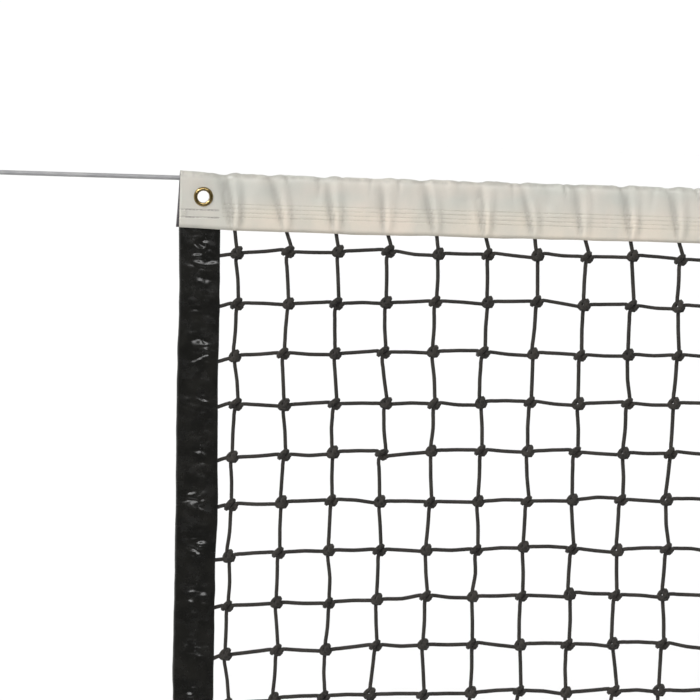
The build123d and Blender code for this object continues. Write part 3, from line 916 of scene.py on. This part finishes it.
random = np.random.default_rng(21)
pucker = random.uniform(*PUCKER_RANGE, len(column_x)) * MM
pucker[[0, -1]] = CORNER_PUCKER
drift = random.normal(PUCKER_DRIFT, PUCKER_DRIFT_SPREAD, len(column_x)) * MM
dents = pucker_band(band.front, random, pucker, drift)
pucker_band(band.back, random, BACK_PUCKER_SHARE * pucker, drift)
notches = 0.9 * wander(random, band_along, 5 * MM) + 0.5 * wander(random, band_along, 23 * MM)
notches = np.clip(notches, -1.0, 1.2)
hem = HEM_WAVE[0] * wander(random, band_along, HEM_WAVE[1])
rise = 1 - band.down / band.width
near_top = smoothstep(0.6, 1.0, rise)
near_hem = 1 - smoothstep(0.0, 0.4, rise)
from_end = NET_END - np.abs(band_along)
# the top edge is dented at the front's deep gathers, and its corners stand up beside the cable
crest = CREST * (0.35 + notches)
for at, depth in dents:
    crest -= depth * np.exp(-(((band_along - at) / DENT_WIDTH) ** 2))
crest = np.maximum(crest, CREST_LEAST)
crest += CORNER_PEAK * (1 - smoothstep(0, CORNER_PEAK_RUN, from_end))
band.sag -= crest[:, None] * near_top
band.sag += hem[:, None] * near_hem
lift = CORNER_LIFT * (1 - smoothstep(0, CORNER_LIFT_RUN, from_end))
band.sag -= lift[:, None] * near_hem
# the back face's left corner shows past the front's
near_end = 1 - smoothstep(0, CORNER_SKEW_RUN, band_along + NET_END)
band.skew -= CORNER_SKEW * near_end[:, None] * (1 - rise) * (1 + band.normal_out) / 2
headband = band.piece("headband_sheet", "headband_vinyl")
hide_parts("headband")

# the grommets' holes are cut through both layers
HOLE_R = 6.0 * MM
CUTTER_LENGTH = 30 * MM
for grommet in grommets:
    gx, _, gz = grommet["pos_m"]
    cutter_mesh = bpy.data.meshes.new("cutter")
    work = bmesh.new()
    bmesh.ops.create_cone(work, cap_ends=True, segments=48, radius1=HOLE_R, radius2=HOLE_R, depth=CUTTER_LENGTH,
                          matrix=Matrix.Translation((gx, 0, gz)) @ Matrix.Rotation(math.pi / 2, 4, "X"))
    work.to_mesh(cutter_mesh)
    work.free()
    cutter = add_object("cutter", cutter_mesh)
    hole = headband.modifiers.new("hole", "BOOLEAN")
    hole.operation, hole.solver, hole.object = "DIFFERENCE", "EXACT", cutter
    bpy.context.view_layer.update()
    cut = bpy.data.meshes.new_from_object(headband.evaluated_get(bpy.context.evaluated_depsgraph_get()))
    headband.modifiers.clear()
    headband.data = cut
    bpy.data.objects.remove(cutter)
    bpy.data.meshes.remove(cutter_mesh)

band_rows = [(-NET_END + BAND_ROWS_START_IN, NET_END - BAND_ROWS_START_IN, row) for row in BAND_ROWS]
BACK_TACK_STARTS = (3.0, 3.4, 3.0)  # millimetres
BACK_TACK_LENGTH = 3.0
corner_rows = [(CORNER_ROWS_START, CORNER_ROWS_END, row) for row in CORNER_ROWS_DOWN]
corner_rows += [(at, at + BACK_TACK_LENGTH, row) for at, row in zip(BACK_TACK_STARTS, BACK_TACK_DOWN)]
corner_left = [(-NET_END + a * MM, -NET_END + b * MM, row * MM) for a, b, row in corner_rows]
corner_right = [(NET_END - b * MM, NET_END - a * MM, row * MM) for a, b, row in corner_rows]
band_pieces = []
for seam, rows in (("headband", band_rows), ("left_corner", corner_left), ("right_corner", corner_right)):
    band_pieces += both_faces(f"{seam}_stitches", "white_thread", band, rows, f"{seam}_thread")

# --- side tapes and bottom tape ---

TAPE_VINYL = 0.85 * MM
SIDE_ROW_IN = 23.5 * MM
row_z = TOP_ROW_Z - row_numbers * ROW_PITCH
DIMPLES = 5
FIRST_TIGHTNESS = 1.15
BUNCH_RUN, FIRST_BUNCH_RUN = 11 * MM, 20 * MM
SEAM_DEPTH, SEAM_WIDTH = 0.30 * MM, 1.2 * MM
DEEPEST, HIGHEST = -0.9 * MM, 1.8 * MM


def wrinkle_tape(relief, random, strip, seam, spacing, crossings):
    """Glossy tape: short crimps across the seam and dimples beside it, tightest at the twines, and long creases."""
    along, down = strip.along, strip.grid
    tightness = 0.45 + 0.6 * smoothstep(-0.5, 0.6, wander(random, crossings, 60 * MM))
    tightness[0] = FIRST_TIGHTNESS
    at = along[0]
    while at < along[-1]:
        nearest = np.abs(crossings - at).argmin()
        run = BUNCH_RUN if nearest else FIRST_BUNCH_RUN
        bunch = tightness[nearest] * np.exp(-((np.abs(crossings[nearest] - at) / run) ** 2))
        height = random.uniform(0.3, 1.0) * MM * (0.13 + 1.0 * bunch)
        add_fold(relief, along, down, at, seam + random.normal(-3.0, 4.2) * MM, random.uniform(2.5, 6.5) * MM,
                 random.uniform(1.0, 2.1) * MM, random.choice([-1, 1]) * height, random.normal(0, 0.3))
        at += random.exponential(spacing)
    for crossing, tight in zip(crossings, tightness):
        for _ in range(DIMPLES):
            at, beside = crossing + random.normal(0, 4.5) * MM, seam - random.uniform(0, 9) * MM
            reach, width = random.uniform(1.8, 4.0) * MM, random.uniform(1.6, 3.0) * MM
            height = random.choice([-1, 1]) * random.uniform(0.3, 0.8) * tight * MM
            add_fold(relief, along, down, at, beside, reach, width, height, random.normal(0, 0.9))
    at = along[0]
    while at < along[-1]:
        add_fold(relief, along, down, at, random.uniform(0.2, 0.9) * strip.width, random.uniform(9, 20) * MM,
                 random.uniform(3, 8) * MM, random.normal(0, 0.40) * MM, random.normal(0, 0.7))
        at += random.uniform(12, 34) * MM
    relief += 0.35 * MM * wander(random, along, 26 * MM)[:, None] * np.ones(len(down))
    relief *= 1 - 0.6 * smoothstep(0.85, 1.0, down / strip.width)
    relief -= SEAM_DEPTH * np.exp(-(((down - seam) / SEAM_WIDTH) ** 2))
    np.clip(relief, DEEPEST, HIGHEST, out=relief)


SIDE_STEP = 1.0 * MM
SIDE_SPACING, FOOT_SPACING = 1.5 * MM, 5 * MM
TAPE_PULL = 4.5 * MM
for end, sign, seed in (("left", -1, 31), ("right", 1, 32)):
    random = np.random.default_rng(seed)
    along = np.arange(tape_low.z, tape_high.z + SIDE_STEP / 2, SIDE_STEP)

    def side_place(along, out, down, sign=sign):
        return np.stack(np.broadcast_arrays(sign * (NET_END - down), out, along), axis=-1)

    gap = tape_high.y - tape_low.y - 2 * TAPE_VINYL
    tape = Strip(SIDE_TAPE_WIDTH, gap, TAPE_VINYL, along, 24, 6, side_place)
    for relief in (tape.front, tape.back):
        wrinkle_tape(relief, random, tape, SIDE_ROW_IN, SIDE_SPACING, row_z)
    inward = tape.down / tape.width
    # the tape is flat and straight inside the headband and the bottom tape, and wavy between
    free = smoothstep(FOOT_HEIGHT, FOOT_HEIGHT + 20 * MM, along)
    free = free * (1 - smoothstep(-12 * MM, 0, along - band_low.z))
    tape.front *= free[:, None]
    tape.back *= free[:, None]
    outer_edge = 0.8 * MM * wander(random, along, 48 * MM) + 0.3 * MM * wander(random, along, 14 * MM)
    inner_edge = 0.9 * MM * wander(random, along, 55 * MM) + 0.3 * MM * wander(random, along, 12 * MM)
    tape.sag += free[:, None] * (outer_edge[:, None] * (1 - inward) + inner_edge[:, None] * inward)
    # the netting pulls the tape inwards between the headband and the bottom tape
    hung = np.clip((along - FOOT_HEIGHT) / (band_low.z - FOOT_HEIGHT), 0, 1)
    tape.sag += TAPE_PULL * np.sin(math.pi * hung)[:, None]
    piece = tape.piece(f"{end}_side_tape_sheet", "black_vinyl")
    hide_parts(f"{end}_side_tape")
    seam = [(FOOT_HEIGHT, band_low.z, SIDE_ROW_IN)]
    thread = both_faces(f"{end}_side_stitches", "black_thread", tape, seam, f"{end}_side_tape_thread")

random = np.random.default_rng(41)


def foot_place(along, out, down):
    return np.stack(np.broadcast_arrays(along, out, down), axis=-1)


foot_along = np.linspace(-NET_END, NET_END, int(2 * NET_END / COARSE_STEP))
foot = Strip(FOOT_HEIGHT, foot_high.y - foot_low.y - 2 * TAPE_VINYL, TAPE_VINYL, foot_along, 12, 6, foot_place)
FOOT_ROWS_UP = 24.0 * MM
FOOT_ROW_PITCH = 6.0 * MM
FOOT_ROWS_START = 3 * MM
for relief in (foot.front, foot.back):
    wrinkle_tape(relief, random, foot, FOOT_ROWS_UP, FOOT_SPACING, column_x)
    relief *= smoothstep(0, 6 * MM, foot.grid)
upward = foot.down / foot.width
foot.sag += 0.6 * MM * np.abs(wander(random, foot_along, 60 * MM))[:, None] * (1 - upward)
foot.sag += 0.7 * MM * wander(random, foot_along, 40 * MM)[:, None] * upward
bottom = foot.piece("bottom_tape_sheet", "black_vinyl")
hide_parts("bottom_tape")
row_end = NET_END - FOOT_ROWS_START
foot_rows = [(-row_end, row_end, FOOT_ROWS_UP + i * FOOT_ROW_PITCH) for i in range(2)]
foot_thread = both_faces("bottom_stitches", "black_thread", foot, foot_rows, "bottom_tape_thread")

# --- floor and light ---

FLOOR_SIZE = 400.0
FLOOR_WHITE = (0.77, 0.77, 0.77)
SOFT_BOX = 7.5
SUN_ENERGY = 2.7
SUN_ANGLE = math.radians(14)
SUN_FROM = Vector((-0.75, -0.62, 0.85))

half = FLOOR_SIZE / 2
floor_mesh = bpy.data.meshes.new("floor")
floor_corners = [(-half, -half, 0), (half, -half, 0), (half, half, 0), (-half, half, 0)]
floor_mesh.from_pydata(floor_corners, [], [(0, 1, 2, 3)])
floor = add_object("floor", floor_mesh)
floor_mesh.materials.append(Shade("floor_paper", FLOOR_WHITE, 0.9, specular=0.1).material)
floor.visible_glossy = False

world = bpy.data.worlds.new("studio")
bpy.context.scene.world = world
world.use_nodes = True
tree = world.node_tree
background = tree.nodes["Background"].inputs
background["Color"].default_value = (1.0, 1.0, 1.0, 1.0)
sky = tree.nodes.new("ShaderNodeTexCoord")
parts = tree.nodes.new("ShaderNodeSeparateXYZ")
tree.links.new(sky.outputs["Generated"], parts.inputs[0])


def sky_ramp(axis, low, high, to_low, to_high):
    node = tree.nodes.new("ShaderNodeMapRange")
    node.interpolation_type = "SMOOTHSTEP"
    tree.links.new(parts.outputs[axis], node.inputs["Value"])
    for key, number in (("From Min", low), ("From Max", high), ("To Min", to_low), ("To Max", to_high)):
        node.inputs[key].default_value = number
    return node.outputs["Result"]


def sky_math(operation, first, *others):
    for other in others:
        node = tree.nodes.new("ShaderNodeMath")
        node.operation = operation
        tree.links.new(first, node.inputs[0])
        tree.links.new(other, node.inputs[1])
        first = node.outputs[0]
    return first


# a white studio: full brightness behind the net and to its sides, dim overhead and in front of it,
# with one soft box in front at the height that glints on the glossy tape's folds
studio = sky_math("MULTIPLY", sky_ramp("Y", -0.90, -0.05, 0.12, 1.04), sky_ramp("Z", 0.15, 0.60, 1.0, 0.6))
box = sky_math("MULTIPLY", sky_ramp("Z", 0.22, 0.30, 0.0, 1.0), sky_ramp("Z", 0.50, 0.60, 1.0, 0.0),
               sky_ramp("X", -0.50, -0.35, 0.0, 1.0), sky_ramp("X", 0.20, 0.35, 1.0, 0.0),
               sky_ramp("Y", -0.60, -0.50, SOFT_BOX, 0.0))
tree.links.new(sky_math("ADD", studio, box), background["Strength"])

sun = add_object("key_light", bpy.data.lights.new("key_light", "SUN"))
sun.data.energy = SUN_ENERGY
sun.data.angle = SUN_ANGLE
sun.rotation_euler = (-SUN_FROM).to_track_quat("-Z", "Y").to_euler()
bpy.context.scene.view_settings.view_transform = "Standard"

# --- CAD nodes that stay, with their finishes ---

for name, node in frame["nodes"].items():
    slot = slot_of.get(name)
    if slot and not node.hide_render:
        node.data.materials.clear()
        node.data.materials.append(finish[slot])
